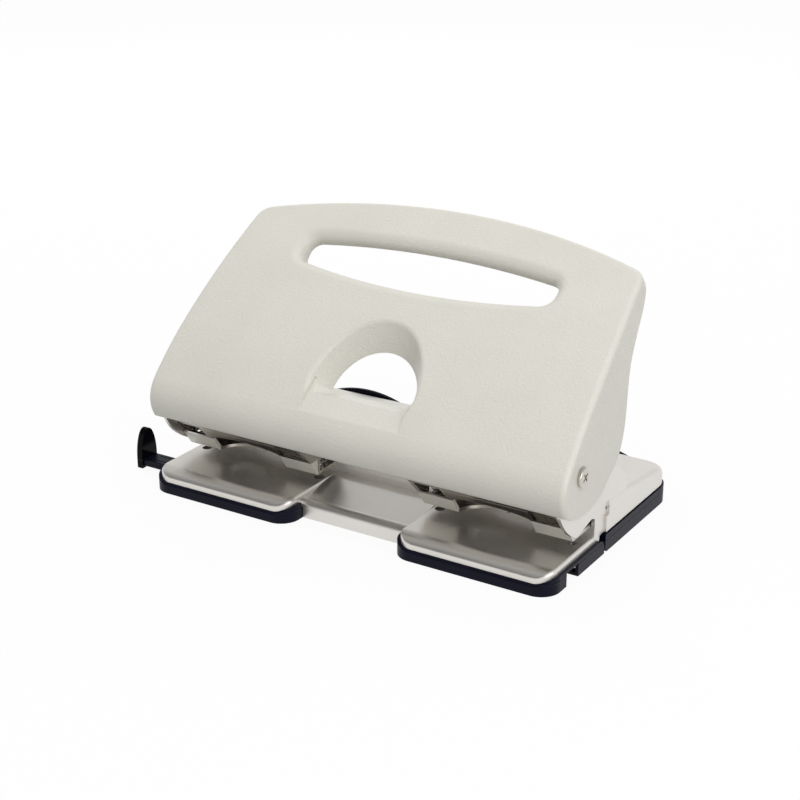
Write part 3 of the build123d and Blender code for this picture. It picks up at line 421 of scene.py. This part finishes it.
glow_to_eye = 0.93
glow_share = joined(tree, "MULTIPLY", to_eye, glow_to_eye)
mixed_shader(
    tree, glow_share, paper.outputs["BSDF"], glow.outputs["Emission"], tree.nodes["Material Output"]
)
floor.data.materials.append(floor_white)


# The room is white to the camera. Its light on the punch is strongest from overhead and
# nearly none from the horizon. Reflections show it a little grey aloft, and darker up at
# the front left, so that the pale coat keeps its shades.

room = bpy.data.worlds.new("white room")
bpy.context.scene.world = room
room.use_nodes = True
tree = room.node_tree
way = tree.nodes.new("ShaderNodeTexCoord").outputs["Generated"]
height = tree.nodes.new("ShaderNodeSeparateXYZ")
tree.links.new(way, height.inputs["Vector"])

fill = tree.nodes["Background"]
fill.inputs["Color"].default_value = (1, 1, 1, 1)
fill_level = remapped(tree, height.outputs["Z"], (0.0, 1.0), (0.04, 1.40))
tree.links.new(fill_level, fill.inputs["Strength"])

front_left = (-0.44, -0.72, 0.54)
aside = tree.nodes.new("ShaderNodeVectorMath")
aside.operation = "DOT_PRODUCT"
aside.inputs[1].default_value = front_left
tree.links.new(way, aside.inputs[0])
dusk = remapped(tree, aside.outputs["Value"], (0.55, 0.95), (0.3, 0.90), smooth=True)
aloft = remapped(tree, height.outputs["Z"], (0.25, 0.55), (0.0, 1.0), smooth=True)
mirrored_level = joined(tree, "SUBTRACT", 1.0, joined(tree, "MULTIPLY", dusk, aloft))
ray, to_eye = ray_to_eye(tree)
seen_level = joined(tree, "MAXIMUM", ray.outputs["Is Camera Ray"], mirrored_level)
seen_white = tree.nodes.new("ShaderNodeBackground")
seen_white.inputs["Color"].default_value = (1, 1, 1, 1)
tree.links.new(seen_level, seen_white.inputs["Strength"])
mixed_shader(
    tree, to_eye, fill.outputs["Background"], seen_white.outputs["Background"],
    tree.nodes["World Output"],
)


# Three soft lamps stand at the right, low in front and at the rear, each with its place,
# the point that it faces, its side and its watts. Only the right one shows in reflections.
# The camera stands where the photograph was taken from.

for name, place, aim, side, power in (
    ("right soft lamp", (1.00, -0.42, 0.45), (0.05, 0.0, 0.08), 0.9, 4.0),
    ("front soft lamp", (0.40, -1.15, 0.20), (0.0, 0.0, 0.04), 0.5, 1.6),
    ("rear soft lamp", (-0.75, 1.05, 0.75), (0.0, 0.0, 0.08), 0.9, 4.0),
):
    lamp = bpy.data.lights.new(name, "AREA")
    lamp.size = side
    lamp.energy = power
    stand = bpy.data.objects.new(name, lamp)
    stand.visible_glossy = name == "right soft lamp"
    bpy.context.scene.collection.objects.link(stand)
    stand.location = place
    reach = np.array(aim) - np.array(place)
    reach = reach / np.linalg.norm(reach)
    tilt = float(np.arccos(-reach[2]))
    turn = float(np.arctan2(reach[1], reach[0]) - np.pi / 2)
    stand.rotation_euler = (tilt, 0.0, turn)

lens = bpy.data.cameras.new("photograph's view")
lens.sensor_width = 36.0
lens.lens = 77.98
lens.clip_start = 0.05
lens.clip_end = 30.0
camera = bpy.data.objects.new("camera", lens)
bpy.context.scene.collection.objects.link(camera)
degrees_down = 21.68
degrees_round = 31.86
camera.location = (0.4747, -0.7760, 0.4182)
camera.rotation_euler = (radians(90 - degrees_down), 0, radians(degrees_round))
bpy.context.scene.camera = camera

bpy.context.scene.view_settings.view_transform = "Standard"
